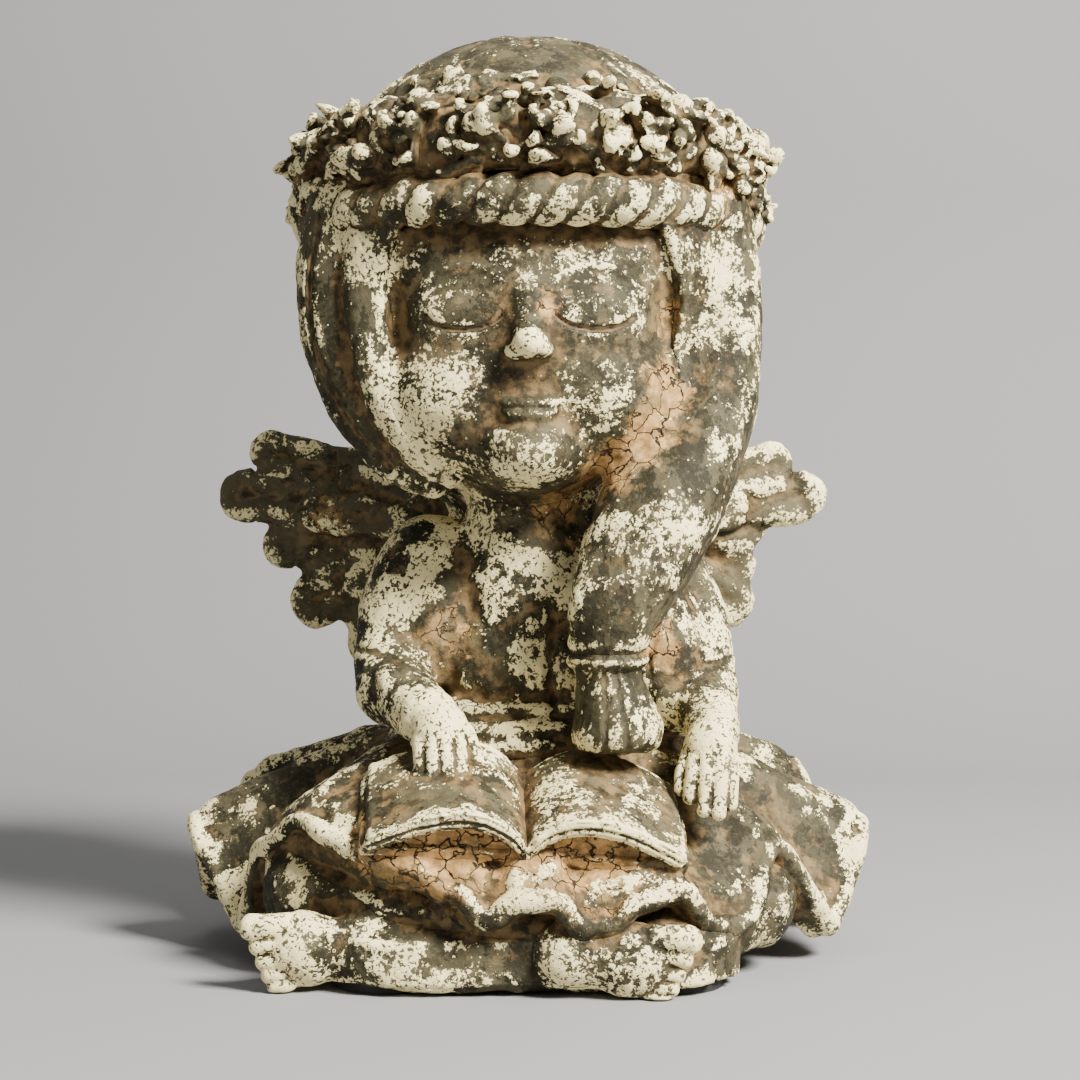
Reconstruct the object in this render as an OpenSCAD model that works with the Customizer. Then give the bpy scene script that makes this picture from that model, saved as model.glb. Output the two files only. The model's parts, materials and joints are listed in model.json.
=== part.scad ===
// Seated angel figurine: a child angel with a flower wreath reads an open book.
// Cast resin pieces glued to one another, steel pins inside, and rubber pads below.
// Millimetres. +Z is up, the angel faces -Y, and left and right are the angel's own,
// so its left side is at +X. The origin is the middle of the footprint, at the table.

/* [Figure] */
// Height from the table to the crown
height = 188; // [150:1:230]
// Width of the wreath from side to side, at the stock height
wreath_w = 103; // [98:1:108]
// Height of the middle of the wreath above the table
wreath_z = 160; // [158:1:163]

/* [Skirt] */
// Height of the waist, where the skirt begins
waist_z = 45; // [42:1:48]
// Thickness of the skirt's hem
hem_t = 5; // [3:0.5:7]
// Steps round the skirt
skirt_steps = 96; // [60:12:120]

/* [Hidden base] */
// Diameter of each rubber pad
pad_d = 20; // [12:1:24]
// Thickness of each rubber pad
pad_t = 2; // [1.5:0.5:4]
// Thickness of the plate that closes the hollow
plate_t = 3; // [2:0.5:5]
// Wall of the hollow base
wall = 6; // [4:1:9]
// Diameter of the hole that the resin is poured through
pour_d = 14; // [8:1:20]

/* [Pins] */
// Diameter of the steel pins that carry each wing
wing_pin_d = 3; // [2:0.5:4]
// Diameter of the steel dowel in the neck
neck_pin_d = 6; // [4:0.5:8]

/* [Hidden] */

stock_height = 188;
small_fn = 10;
round_fn = 16;
head_fn = 24;
true_fn = 72;

stone = [0.42, 0.40, 0.34];
chalk = [0.80, 0.77, 0.67];
clay = [0.55, 0.42, 0.29];
rubber_black = [0.05, 0.05, 0.05];
steel = [0.62, 0.63, 0.65];

// The skirt's hem, once round: bearing from the front towards +X, distance out, height.
hem = [[-170, 57, 28], [-155, 62, 11], [-137, 66, 31], [-125, 68, 14], [-113, 68, 34],
    [-102, 71, 11], [-90, 71, 28], [-75, 61, 9], [-61, 60, 27], [-50, 58, 33], [-33, 57, 28],
    [-23, 57, 26], [-14, 57, 22], [-7, 56.5, 17.5], [-2, 56.5, 20.5], [5, 56.5, 21],
    [10, 56.5, 16], [15, 56.5, 16], [22, 57, 20], [30, 57, 22], [37, 57, 15], [44, 58, 14.5],
    [58, 56, 27], [76, 64, 9], [93, 71, 27], [105, 70, 10], [119, 68, 37], [137, 64, 13],
    [155, 59, 30], [172, 57, 11], [190, 57, 28]];
waist_r = [29, 25];
ring_r = wreath_w / 2 - 10;
ring_t = 7;
band_r = 43.8;
band_t = 5;
band_z = 147.8;
roses = 16;
buds = 20;

// Joints between the castings.
right_shoulder = [-21.5, -8, 79];
right_elbow = [-27, -20, 55];
right_wrist = [-18, -36, 50];
left_shoulder = [25, -6, 80];
left_elbow = [34, -12, 56];
left_wrist = [36, -29, 46];
neck_foot = [0, -8, 82];
skull_core = [0, -3, 136];
hair_middle = [0, 1, 141];
wing_root = [14, 22, 84];
pad_x = [-26.5, 26.5];
pad_y = [-39, 31];
mound_y = -2;
mound_corner = 16;
seat_r = 21;
seat_z = 34;
ledge = 3;

function xyz(p) = [p[0], p[1], p[2]];
function lerp(a, b, t) = a + (b - a) * t;
function ease(t) = (1 - cos(180 * t)) / 2;
// Index of the hem point at or before a bearing from -170 to 190 degrees.
function hem_at(b) = max([for (i = [0:len(hem) - 2]) hem[i][0] <= b ? i : 0]);
function hem_mix(b, i) = lerp(hem[i], hem[i + 1], ease((b - hem[i][0]) / (hem[i + 1][0] - hem[i][0])));
// Point of the skirt's upper surface at a bearing, from the waist (t = 0) to the hem (t = 1).
function skirt_point(b, t, drop = 0) =
    let (h = hem_mix(b, hem_at(b)),
        w = 1 / sqrt(pow(sin(b) / waist_r[0], 2) + pow(cos(b) / waist_r[1], 2)),
        r = lerp(w, h[1], t),
        z = lerp(waist_z, h[2], pow(t, 1.15)))
    [r * sin(b), -r * cos(b), z - drop];

module ball(p, r, fn = round_fn) translate(p) sphere(r, $fn = fn);

module egg(p, r, fn = round_fn) translate(p) scale(r) sphere(1, $fn = fn);

// A limb or lock through balls given as [x, y, z, radius].
module chain(balls, fn = round_fn) {
    for (i = [0:len(balls) - 2]) hull() {
        ball(xyz(balls[i]), balls[i][3], fn);
        ball(xyz(balls[i + 1]), balls[i + 1][3], fn);
    }
}

module pin(from, to, d) {
    v = to - from;
    translate(from)
        rotate([0, acos(v[2] / norm(v)), atan2(v[1], v[0])])
            cylinder(h = norm(v), d = d, $fn = true_fn);
}

/* ---- forms: the full shape of each casting, before its neighbours are cut from it ---- */

module mound_outline(inset = 0) {
    hull() for (x = [-24, 24], y = [-34, 34])
        translate([x, y + mound_y]) circle(mound_corner - inset, $fn = 28);
}

// The seat: a slab with round corners that rises to a round top under the waist.
module mound_form() {
    hull() {
        translate([0, 0, pad_t]) linear_extrude(11) mound_outline();
        translate([0, 2, 12]) cylinder(r = seat_r, h = seat_z - 12, $fn = 32);
    }
}

// The hollow inside the seat, narrower than the plate so that the plate has a ledge.
module hollow_form() {
    hull() {
        translate([0, 0, pad_t + plate_t]) linear_extrude(5) mound_outline(wall + ledge);
        translate([0, 2, 12]) cylinder(r = seat_r - wall, h = seat_z - 12 - wall, $fn = 24);
    }
}

// The skirt: a shell, thin at the hem and thick at the waist, pleated by the hem's waves.
module skirt_form() {
    // Each ring's place from waist to hem, and its depth below the upper surface.
    rings = [[0, 0], [0.35, 0], [0.7, 0], [1, 0], [1, hem_t], [0.6, hem_t + 1], [0.25, hem_t + 6], [0, 14]];
    n = skirt_steps;
    m = len(rings);
    points = [for (k = [0:m - 1], i = [0:n - 1])
        skirt_point(-170 + 360 * i / n, rings[k][0], rings[k][1])];
    faces = [for (k = [0:m - 1], i = [0:n - 1])
        let (next = (i + 1) % n, above = (k + 1) % m, a = k * n + i, b = k * n + next,
            c = above * n + i, d = above * n + next)
        each [[a, b, c], [b, d, c]]];
    polyhedron(points, faces, convexity = 8);
}

// Bodice and back in one convex form.
module torso_form() {
    hull() {
        ball([-15, -6, 75], 11);
        ball([15, -6, 75], 11);
        ball([-10, 14, 78], 11);
        ball([10, 14, 78], 11);
        egg([0, -1, 46], [29, 25.5, 13]);
    }
}

module neck_form() {
    hull() {
        ball(neck_foot, 13);
        ball([0, -7, 96], 12);
    }
}

// Skull, cheeks, chin and a small nose under the hair, even about the middle plane.
module head_form() {
    hull() {
        egg(skull_core, [37, 36, 37], head_fn);
        for (side = [-1, 1]) ball([side * 12.5, -23, 116], 17);
        ball([0, -30, 106], 12);
    }
    hull() {
        ball([0, -44, 121], 3, small_fn);
        ball([0, -39, 130], 3, small_fn);
    }
}

module hair_form() {
    hull() {
        egg(hair_middle, [47, 46.5, 47], head_fn);
        ball([0, 12, 116], 31);
    }
}

// The opening at the front of the hair, between the side lock and the ponytail.
module face_window() {
    hull() {
        translate([-34, -60, 146]) cube([61, 40, 1]);
        for (p = [[-24, 108], [18, 108], [-1, 94]])
            translate([p[0], -60, p[1]]) rotate([-90, 0, 0]) cylinder(r = 10, h = 40, $fn = 20);
    }
}

module side_lock_form() {
    chain([[-33, -23, 146, 9], [-36, -23, 134, 9], [-34.5, -23, 120, 8.5], [-30, -24, 108, 7.5],
        [-24, -25, 99, 5], [-18, -26, 94, 2.5]]);
}

module ponytail_form() {
    chain([[36, -18, 148, 8], [37.5, -17, 134, 8.5], [36.5, -19, 118, 9.5], [32.5, -23, 104, 10.5],
        [26, -29, 91, 11.5], [20.5, -34, 79, 10.5], [16.5, -37, 71, 8.5]]);
}

module hair_tie_form() {
    hull() {
        egg([14.5, -38, 64.5], [7.5, 6.5, 2.6], small_fn);
        egg([15, -38, 60.5], [7.5, 6.5, 2.6], small_fn);
    }
}

module tuft_form() {
    chain([[15, -37.5, 58, 6], [16, -37, 54, 8], [16.5, -36, 51, 8.5]]);
}

module headband_form() {
    translate([0, 1, band_z]) rotate_extrude($fn = 48) translate([band_r, 0]) circle(band_t, $fn = 14);
}

module wreath_form(fn = 14) {
    translate([0, 1, wreath_z]) rotate_extrude($fn = 3 * fn) translate([ring_r, 0])
        rotate(180) circle(ring_t, $fn = fn);
}

// Sleeve and forearm from shoulder to wrist, with the middle of the upper arm between.
module arm_form(shoulder, middle, elbow, wrist) {
    hull() {
        ball(shoulder, 8.8);
        ball(middle, 7.8);
    }
    hull() {
        ball(middle, 7.8);
        ball(elbow, 7.3);
    }
    hull() {
        ball(elbow, 7.3);
        ball(wrist, 5.5);
    }
}

module right_arm_form() arm_form(right_shoulder, [-26.5, -11, 68], right_elbow, right_wrist);

module left_arm_form() arm_form(left_shoulder, [32, -7, 68], left_elbow, left_wrist);

// A resting hand: a palm, four fingers hanging forwards and down, and a thumb on one side.
module hand_form(palm, thumb_side) {
    hull() {
        egg(palm + [0, 4, 4], [5.5, 4.5, 4], small_fn);
        egg(palm + [0, 0, 0], [6.8, 4, 5], small_fn);
    }
    for (i = [-1.5:1.5]) {
        hull() {
            ball(palm + [i * 3.4, -1.5, -2], 2.1, small_fn);
            ball(palm + [i * 3.1 + 0.5, -5, -8 + abs(i + 0.5)], 1.7, small_fn);
        }
    }
    hull() {
        ball(palm + [thumb_side * 6, 1, 1], 2.1, small_fn);
        ball(palm + [thumb_side * 6.5, -2.5, -5], 1.7, small_fn);
    }
}

module right_hand_form() hand_form([-16.5, -40, 45.5], 1);

module left_hand_form() translate([34, -35, 40.5]) scale([0.8, 1, 1]) hand_form([0, 0, 0], -1);

module right_leg_form() {
    chain([[-38, -33, 14.5, 9], [-20, -41.5, 12.5, 8], [0, -45, 10.8, 7], [12, -47, 9.6, 6.5]]);
}

module left_leg_form() {
    chain([[37, -30, 12, 9], [18, -38, 8.6, 7.2], [-10, -44, 6.8, 5.8], [-29, -45, 7.2, 5.8]]);
}

// Foot pointing along +X from its heel, lying on its side with five toes one above the other.
module foot_form() {
    hull() {
        egg([0, 0, 0], [7, 5.5, 6.5]);
        egg([13, -1, 0], [6, 5, 7]);
    }
    for (i = [0:4]) {
        hull() {
            ball([16, -1.5, 5.2 - 2.7 * i], 2.3, small_fn);
            ball([21.5 - 0.9 * i, -2, 5.8 - 2.8 * i], 2.4 - 0.2 * i, small_fn);
        }
    }
}

module right_foot_form() translate([11, -50.5, 9.4]) rotate([0, 4, -4]) foot_form();

module left_foot_form() translate([-29.5, -43, 10.2]) mirror([1, 0, 0]) rotate([0, 4, 8]) foot_form();

// Frame of the open book: x along the lines of text, y up the page, z out of it.
module book_frame() translate([-1, -42, 31.5]) rotate([29, 4, 5]) children();

module page_block(side) {
    book_frame() hull() {
        translate([side * 0.7 - 0.3, -11, 0.2]) cube([0.6, 22, 1.6]);
        translate([side * 9, 11, 4.6]) rotate([90, 0, 0]) cylinder(r = 3, h = 22, $fn = 20);
        translate([side * 15, 11, 5]) rotate([90, 0, 0]) cylinder(r = 3.4, h = 22, $fn = 20);
        translate([side * 27.5, 11, 1.2]) rotate([90, 0, 0]) cylinder(r = 1.8, h = 22, $fn = 12);
    }
}

// Room over the open cover, which the skirt leaves for the pages.
module book_space() {
    book_frame() translate([-31, -12.5, -1]) cube([62, 25, 12]);
}

module cover_form() {
    book_frame() for (side = [-1, 1]) hull() {
        translate([side * 0.5 - 0.5, -12.2, -2]) cube([1, 24.4, 2.4]);
        translate([side * 29, -12.2, -1.9]) cube([1.5, 24.4, 1.5]);
    }
}

// A wing of feathers given as [tip x, tip z, tip radius], drawn on the +X side.
module wing_form(feathers) {
    for (f = feathers) hull() {
        egg(wing_root + [3, 2, 0], [6, 4.5, 10], small_fn);
        egg([f[0] * 0.72, 30, lerp(wing_root[2], f[1], 0.7)], [f[2], 3.4, f[2]], small_fn);
        egg([f[0] - f[2], 34, f[1]], [f[2], 2.8, f[2] * 0.85], small_fn);
    }
}

left_feathers = [[59, 101, 5.5], [66, 94, 6], [53, 80, 5.5], [49, 69, 5.5], [38, 61, 5]];
right_feathers = [[63, 104, 5.5], [70, 94, 6.5], [60, 83, 5.5], [54, 71, 6], [41, 61, 5]];

module left_wing_form() wing_form(left_feathers);

module right_wing_form() mirror([1, 0, 0]) wing_form(right_feathers);

module wing_pins_form() {
    for (side = [-1, 1], z = [80, 88]) pin([side * 7, 14, z], [side * 24, 26, z], wing_pin_d);
}

module dowel_form() translate([0, -6, 70]) cylinder(h = 46, d = neck_pin_d, $fn = true_fn);

/* ---- nodes ---- */

module placed() scale(height / stock_height) children();

module foot_pads() color(rubber_black) placed() {
    for (x = pad_x, y = pad_y) translate([x, y, 0]) cylinder(h = pad_t, d = pad_d, $fn = true_fn);
}

module base_plate() color(clay) placed() difference() {
    translate([0, 0, pad_t]) linear_extrude(plate_t) mound_outline(wall);
    translate([0, 0, pad_t - 1]) cylinder(h = plate_t + 2, d = pour_d, $fn = true_fn);
}

module pour_plug() color(rubber_black) placed() {
    translate([0, 0, pad_t]) cylinder(h = plate_t + 2, d = pour_d, $fn = true_fn);
}

module base_mound() color(stone) placed() difference() {
    mound_form();
    translate([0, 0, pad_t - 1]) linear_extrude(plate_t + 1) mound_outline(wall);
    hollow_form();
    right_leg_form();
    left_leg_form();
    right_foot_form();
    left_foot_form();
}

module skirt() color(stone) placed() difference() {
    skirt_form();
    mound_form();
    torso_form();
    right_leg_form();
    left_leg_form();
    right_foot_form();
    left_foot_form();
    book_space();
    cover_form();
    left_hand_form();
    left_arm_form();
}

module torso() color(stone) placed() difference() {
    torso_form();
    mound_form();
    neck_form();
    wing_pins_form();
    dowel_form();
}

module book_cover() color(clay) placed() difference() {
    cover_form();
    torso_form();
    left_hand_form();
    right_hand_form();
    page_block(-1);
    page_block(1);
}

module right_pages() color(chalk) placed() difference() {
    page_block(-1);
    torso_form();
    right_hand_form();
    tuft_form();
}

module left_pages() color(chalk) placed() difference() {
    page_block(1);
    page_block(-1);
    torso_form();
    left_hand_form();
    tuft_form();
}

module left_leg() color(stone) placed() difference() {
    left_leg_form();
    right_leg_form();
    left_foot_form();
    right_foot_form();
}

module right_leg() color(stone) placed() difference() {
    right_leg_form();
    right_foot_form();
    left_foot_form();
}

module left_foot() color(chalk) placed() left_foot_form();

module right_foot() color(chalk) placed() right_foot_form();

module left_arm() color(stone) placed() difference() {
    left_arm_form();
    left_hand_form();
    torso_form();
    ponytail_form();
    left_wing_form();
}

module right_arm() color(stone) placed() difference() {
    right_arm_form();
    right_hand_form();
    torso_form();
    right_wing_form();
}

module left_hand() color(chalk) placed() left_hand_form();

module right_hand() color(chalk) placed() difference() {
    right_hand_form();
    torso_form();
}

module neck() color(clay) placed() difference() {
    neck_form();
    head_form();
    dowel_form();
}

module head() color(stone) placed() difference() {
    head_form();
    dowel_form();
}

module hair_cap() color(stone) placed() difference() {
    hair_form();
    head_form();
    face_window();
    headband_form();
    wreath_form();
    side_lock_form();
    ponytail_form();
    neck_form();
    torso_form();
}

module side_lock() color(stone) placed() difference() {
    side_lock_form();
    head_form();
    headband_form();
    wreath_form();
    neck_form();
    right_arm_form();
    torso_form();
}

module ponytail() color(stone) placed() difference() {
    ponytail_form();
    head_form();
    headband_form();
    wreath_form();
    neck_form();
    torso_form();
    hair_tie_form();
}

module hair_tie() color(stone) placed() difference() {
    hair_tie_form();
    torso_form();
    tuft_form();
}

module ponytail_end() color(stone) placed() difference() {
    tuft_form();
    torso_form();
}

module headband() color(chalk) placed() headband_form();

module wreath_ring() color(stone) placed() difference() {
    wreath_form();
    headband_form();
}

// Roses in a row round the wreath, set into its outer face, each a cup that opens outwards.
module wreath_roses() color(chalk) placed() difference() {
    for (i = [0:roses - 1])
        translate([0, 1, wreath_z + 3 * cos(160 * i)])
            rotate([0, 0, 360 / roses * (i + 0.5) + 4 * sin(137 * i)])
                hull() {
                    translate([0, -(ring_r + ring_t - 4), 0]) rotate([90, 0, 0])
                        cylinder(r = 2.4, h = 1, $fn = 8);
                    translate([0, -(ring_r + ring_t + 0.8), 0]) rotate([90, 0, 0])
                        cylinder(r1 = 4.4, r2 = 3.2, h = 2.2, $fn = 8);
                }
    wreath_form();
}

// Buds in two rows, over the roses and under them.
module wreath_buds() color(stone) placed() difference() {
    for (i = [0:buds - 1]) {
        a = 360 / buds * (i + 0.5);
        lift = i % 2 == 0 ? 65 : -50;
        r = ring_r + (ring_t + 0.5) * cos(lift);
        translate([r * sin(a), 1 - r * cos(a), wreath_z + (ring_t + 0.5) * sin(lift)])
            sphere(2.6, $fn = 24);
    }
    wreath_form(32);
}

module left_wing() color(stone) placed() difference() {
    left_wing_form();
    torso_form();
    hair_form();
    wing_pins_form();
}

module right_wing() color(stone) placed() difference() {
    right_wing_form();
    torso_form();
    hair_form();
    wing_pins_form();
}

module wing_pins() color(steel) placed() wing_pins_form();

module neck_dowel() color(steel) placed() dowel_form();

foot_pads();
base_plate();
pour_plug();
base_mound();
skirt();
torso();
book_cover();
left_pages();
right_pages();
left_leg();
right_leg();
left_foot();
right_foot();
left_arm();
right_arm();
left_hand();
right_hand();
neck();
head();
hair_cap();
side_lock();
ponytail();
hair_tie();
ponytail_end();
headband();
wreath_ring();
wreath_roses();
wreath_buds();
left_wing();
right_wing();
wing_pins();
neck_dowel();
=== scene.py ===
import json
import math

import bpy
import numpy as np
import openvdb
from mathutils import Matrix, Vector


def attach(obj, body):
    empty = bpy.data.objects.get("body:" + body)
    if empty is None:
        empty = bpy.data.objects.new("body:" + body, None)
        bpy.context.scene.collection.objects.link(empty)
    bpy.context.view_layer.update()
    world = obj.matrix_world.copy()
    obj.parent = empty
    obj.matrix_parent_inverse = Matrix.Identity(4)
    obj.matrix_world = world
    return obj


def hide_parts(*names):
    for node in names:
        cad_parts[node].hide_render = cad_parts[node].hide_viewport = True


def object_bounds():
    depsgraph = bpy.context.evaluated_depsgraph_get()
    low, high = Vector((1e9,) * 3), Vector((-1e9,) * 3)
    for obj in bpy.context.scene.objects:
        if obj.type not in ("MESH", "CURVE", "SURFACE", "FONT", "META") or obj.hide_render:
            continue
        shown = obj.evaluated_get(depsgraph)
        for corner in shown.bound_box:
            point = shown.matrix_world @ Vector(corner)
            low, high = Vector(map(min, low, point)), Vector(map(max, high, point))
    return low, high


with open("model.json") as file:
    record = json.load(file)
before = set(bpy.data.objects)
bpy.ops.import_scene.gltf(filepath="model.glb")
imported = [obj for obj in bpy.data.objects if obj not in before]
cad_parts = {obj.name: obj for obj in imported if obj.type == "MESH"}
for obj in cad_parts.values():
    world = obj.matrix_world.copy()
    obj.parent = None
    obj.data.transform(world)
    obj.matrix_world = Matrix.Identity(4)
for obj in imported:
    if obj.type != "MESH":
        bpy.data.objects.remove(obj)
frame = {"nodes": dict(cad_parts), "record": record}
cad_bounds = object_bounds()

# ---------------------------------------------------------------- frame and scale

STOCK_HEIGHT = 187.6
FOOT = Vector(cad_bounds[0])
TOP = Vector(cad_bounds[1])
MM = (TOP.z - FOOT.z) / STOCK_HEIGHT
FINE = 1.0
FAR = 4.0


# ---------------------------------------------------------------- distance fields

class Grid:
    """A block of points, evenly spaced, in the figure's own millimetres."""

    def __init__(self, low, high, step):
        self.step = step
        self.low = np.floor(np.array(low) / step) * step
        count = np.ceil((np.array(high) - self.low) / step).astype(int) + 1
        self.shape = tuple(count)
        self.axes = [(self.low[i] + step * np.arange(count[i])).astype(np.float32) for i in range(3)]

    def part(self, low, high):
        cut = []
        for i in range(3):
            a = max(0, int((low[i] - self.low[i]) / self.step))
            b = min(self.shape[i], int((high[i] - self.low[i]) / self.step) + 2)
            if a >= b:
                return None
            cut.append(slice(a, b))
        return tuple(cut)

    def points(self, cut):
        x = self.axes[0][cut[0]][:, None, None]
        y = self.axes[1][cut[1]][None, :, None]
        z = self.axes[2][cut[2]][None, None, :]
        return x, y, z


def soft_min(a, b, k):
    if k <= 0:
        return np.minimum(a, b)
    m = np.maximum(k - np.abs(a - b), 0) / k
    return np.minimum(a, b) - m * m * (k * 0.25)


def soft_max(a, b, k):
    return -soft_min(-a, -b, k)


class Shape:
    """A signed distance with the box that it lies in."""

    def __init__(self, rule, low, high):
        self.rule = rule
        self.low = np.array(low, float)
        self.high = np.array(high, float)

    def value(self, grid, cut):
        return self.rule(*grid.points(cut))


class Union(Shape):
    """Many shapes taken as one, with plain corners where they meet."""

    def __init__(self, shapes):
        self.shapes = shapes
        self.low = np.min([s.low for s in shapes], axis=0)
        self.high = np.max([s.high for s in shapes], axis=0)

    def value(self, grid, cut):
        out = np.full([c.stop - c.start for c in cut], FAR * 2, np.float32)
        for shape in self.shapes:
            near = grid.part(shape.low - FAR, shape.high + FAR)
            if near is None:
                continue
            both = [slice(max(n.start, c.start), min(n.stop, c.stop)) for n, c in zip(near, cut)]
            if any(b.start >= b.stop for b in both):
                continue
            here = tuple(slice(b.start - c.start, b.stop - c.start) for b, c in zip(both, cut))
            out[here] = np.minimum(out[here], shape.value(grid, tuple(both)))
        return out


def turned(x, y, z, turn):
    return [turn[i][0] * x + turn[i][1] * y + turn[i][2] * z for i in range(3)]


def spin(rx=0.0, ry=0.0, rz=0.0):
    """Rotation in degrees, about X, then Y, then Z."""
    a, b, c = (math.radians(v) for v in (rx, ry, rz))
    mx = np.array([[1, 0, 0], [0, math.cos(a), -math.sin(a)], [0, math.sin(a), math.cos(a)]])
    my = np.array([[math.cos(b), 0, math.sin(b)], [0, 1, 0], [-math.sin(b), 0, math.cos(b)]])
    mz = np.array([[math.cos(c), -math.sin(c), 0], [math.sin(c), math.cos(c), 0], [0, 0, 1]])
    return mz @ my @ mx


def egg(middle, radii, turn=None):
    cx, cy, cz = middle
    rx, ry, rz = radii if np.ndim(radii) else (radii,) * 3
    back = None if turn is None else np.array(turn).T

    def rule(x, y, z):
        x, y, z = x - cx, y - cy, z - cz
        if back is not None:
            x, y, z = turned(x, y, z, back)
        x, y, z = x / rx, y / ry, z / rz
        near = np.sqrt(x * x + y * y + z * z)
        slope = np.sqrt((x / rx) ** 2 + (y / ry) ** 2 + (z / rz) ** 2)
        return (near * (near - 1) / np.maximum(slope, 1e-5)).astype(np.float32)

    reach = max(rx, ry, rz) if back is not None else np.array([rx, ry, rz])
    return Shape(rule, np.array(middle) - reach, np.array(middle) + reach)


def rod(a, ra, b, rb, flat=None, thin=1.0):
    """A tapering rod with round ends, thinned along the direction flat."""
    a, b = np.array(a, float), np.array(b, float)
    along = b - a
    length2 = max(float(along @ along), 1e-6)
    if flat is not None:
        flat = np.array(flat, float)
        flat = flat - along * float(flat @ along) / length2
        flat = flat / np.linalg.norm(flat)

    def rule(x, y, z):
        x, y, z = x - a[0], y - a[1], z - a[2]
        t = np.clip((x * along[0] + y * along[1] + z * along[2]) / length2, 0, 1)
        x, y, z = x - t * along[0], y - t * along[1], z - t * along[2]
        away2 = x * x + y * y + z * z
        if flat is not None:
            side = x * flat[0] + y * flat[1] + z * flat[2]
            away2 = away2 + (thin * thin - 1) * side * side
        r = ra + (rb - ra) * t
        d = np.sqrt(away2) - r
        if flat is not None:
            d = d / (1 + (thin - 1) * np.clip(1 - d / FAR, 0, 1) * 0.5)
        return d.astype(np.float32)

    reach = max(ra, rb)
    return Shape(rule, np.minimum(a, b) - reach, np.maximum(a, b) + reach)


def smooth_points(points, steps):
    """Points on a Catmull-Rom curve through rows of [x, y, z, radius]."""
    p = np.array(points, float)
    p = np.vstack([2 * p[0] - p[1], p, 2 * p[-1] - p[-2]])
    out = []
    for i in range(1, len(p) - 2):
        for j in range(steps):
            t = j / steps
            out.append(0.5 * (2 * p[i] + (p[i + 1] - p[i - 1]) * t
                              + (2 * p[i - 1] - 5 * p[i] + 4 * p[i + 1] - p[i + 2]) * t * t
                              + (3 * p[i] - p[i - 1] - 3 * p[i + 1] + p[i + 2]) * t ** 3))
    out.append(p[-2])
    return np.array(out)


def path(points, steps=4, flat=None, thin=1.0):
    q = smooth_points(points, steps)
    return Union([rod(a[:3], a[3], b[:3], b[3], flat, thin) for a, b in zip(q[:-1], q[1:])])


def score(points, width, depth, run=1.0, steps=4):
    """How far a groove of this width and depth lowers the surface near a curve. A run under 1 lets
    the groove reach on along Y, into the surface."""
    s = np.array((1, run, 1), float)
    q = smooth_points([list(np.array(p[:3]) * s) + [0] for p in points], steps)
    rods = [rod(a[:3], 0, b[:3], 0) for a, b in zip(q[:-1], q[1:])]

    def rule(x, y, z):
        x, y, z = x * s[0], y * s[1], z * s[2]
        away = rods[0].rule(x, y, z)
        for r in rods[1:]:
            away = np.minimum(away, r.rule(x, y, z))
        return (depth * np.clip(1 - away / width, 0, 1) ** 1.5).astype(np.float32)

    low = (np.min(q[:, :3], axis=0) - width) / s
    high = (np.max(q[:, :3], axis=0) + width) / s
    return Shape(rule, low, high)


class Form:
    """A piece's shape, as a list of steps on its distance field."""

    def __init__(self, blend=1.5):
        self.blend = blend
        self.steps = []
        self.low = np.full(3, 1e9)
        self.high = np.full(3, -1e9)

    def add(self, shape, k=1.0):
        self.steps.append(("add", shape, k))
        self.low = np.minimum(self.low, shape.low)
        self.high = np.maximum(self.high, shape.high)

    def cut(self, shape, k=1.0):
        self.steps.append(("cut", shape, k))

    def keep(self, shape, k=1.0):
        self.steps.append(("keep", shape, k))

    def groove(self, points, width, depth, run=1.0, steps=4):
        self.steps.append(("lower", score(points, width, depth, run, steps), 0))

    def field(self, grid):
        d = np.full(grid.shape, FAR, np.float32)
        for kind, shape, k in self.steps:
            pad = FAR if kind == "add" else k + grid.step
            box = grid.part(shape.low - pad, shape.high + pad)
            if kind == "keep":
                box = tuple(slice(0, n) for n in grid.shape)
            if box is None:
                continue
            v = shape.value(grid, box)
            if kind == "add":
                d[box] = soft_min(d[box], v, k)
            elif kind == "cut":
                d[box] = soft_max(d[box], -v, k)
            elif kind == "keep":
                d[box] = soft_max(d[box], v, k)
            else:
                d[box] = d[box] + v
        return d


# ---------------------------------------------------------------- noise

class Noise:
    """Smooth random values on a repeating lattice."""

    SIZE = 32

    def __init__(self, seed):
        self.table = np.random.RandomState(seed).rand(self.SIZE, self.SIZE, self.SIZE).astype(np.float32)

    def at(self, p, wave):
        q = p / wave
        base = np.floor(q)
        t = (q - base).astype(np.float32)
        t = t * t * (3 - 2 * t)
        i = base.astype(np.int64) % self.SIZE
        j = (i + 1) % self.SIZE
        out = np.zeros(len(p), np.float32)
        for a in (0, 1):
            for b in (0, 1):
                for c in (0, 1):
                    w = ((t[:, 0] if a else 1 - t[:, 0]) * (t[:, 1] if b else 1 - t[:, 1])
                         * (t[:, 2] if c else 1 - t[:, 2]))
                    out += w * self.table[(j if a else i)[:, 0], (j if b else i)[:, 1], (j if c else i)[:, 2]]
        return out * 2 - 1


ROUGH = Noise(7)


def crumpling(p, amount):
    """Sharp winding ridges, like petals pressed together."""
    ridges = 0.7 * (1 - 2.4 * np.abs(ROUGH.at(p + 15, 5.2))) + 0.4 * (1 - 2.4 * np.abs(ROUGH.at(p + 60, 2.6)))
    return amount * (ridges - 0.45)


def roughness(p, amount):
    return amount * (0.36 * ROUGH.at(p, 7.3) + 0.22 * ROUGH.at(p + 40, 2.9) + 0.12 * ROUGH.at(p + 90, 1.35))


# ---------------------------------------------------------------- the pieces

FORMS = {}


def piece(node, step, rough=1.0, blend=1.5, crumple=0.0):
    """Keeps the shape that a function builds, under its node's name, with its mesh step in mm."""
    def keep(maker):
        form = Form(blend)
        maker(form)
        FORMS[node] = {"form": form, "step": step, "rough": rough, "crumple": crumple}
        return maker
    return keep


# The head's own size, and the half width of the face egg on the head's own middle line.
HEAD_R = 46.6
FACE_HALF = 29.0
STRANDS = 26


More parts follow.
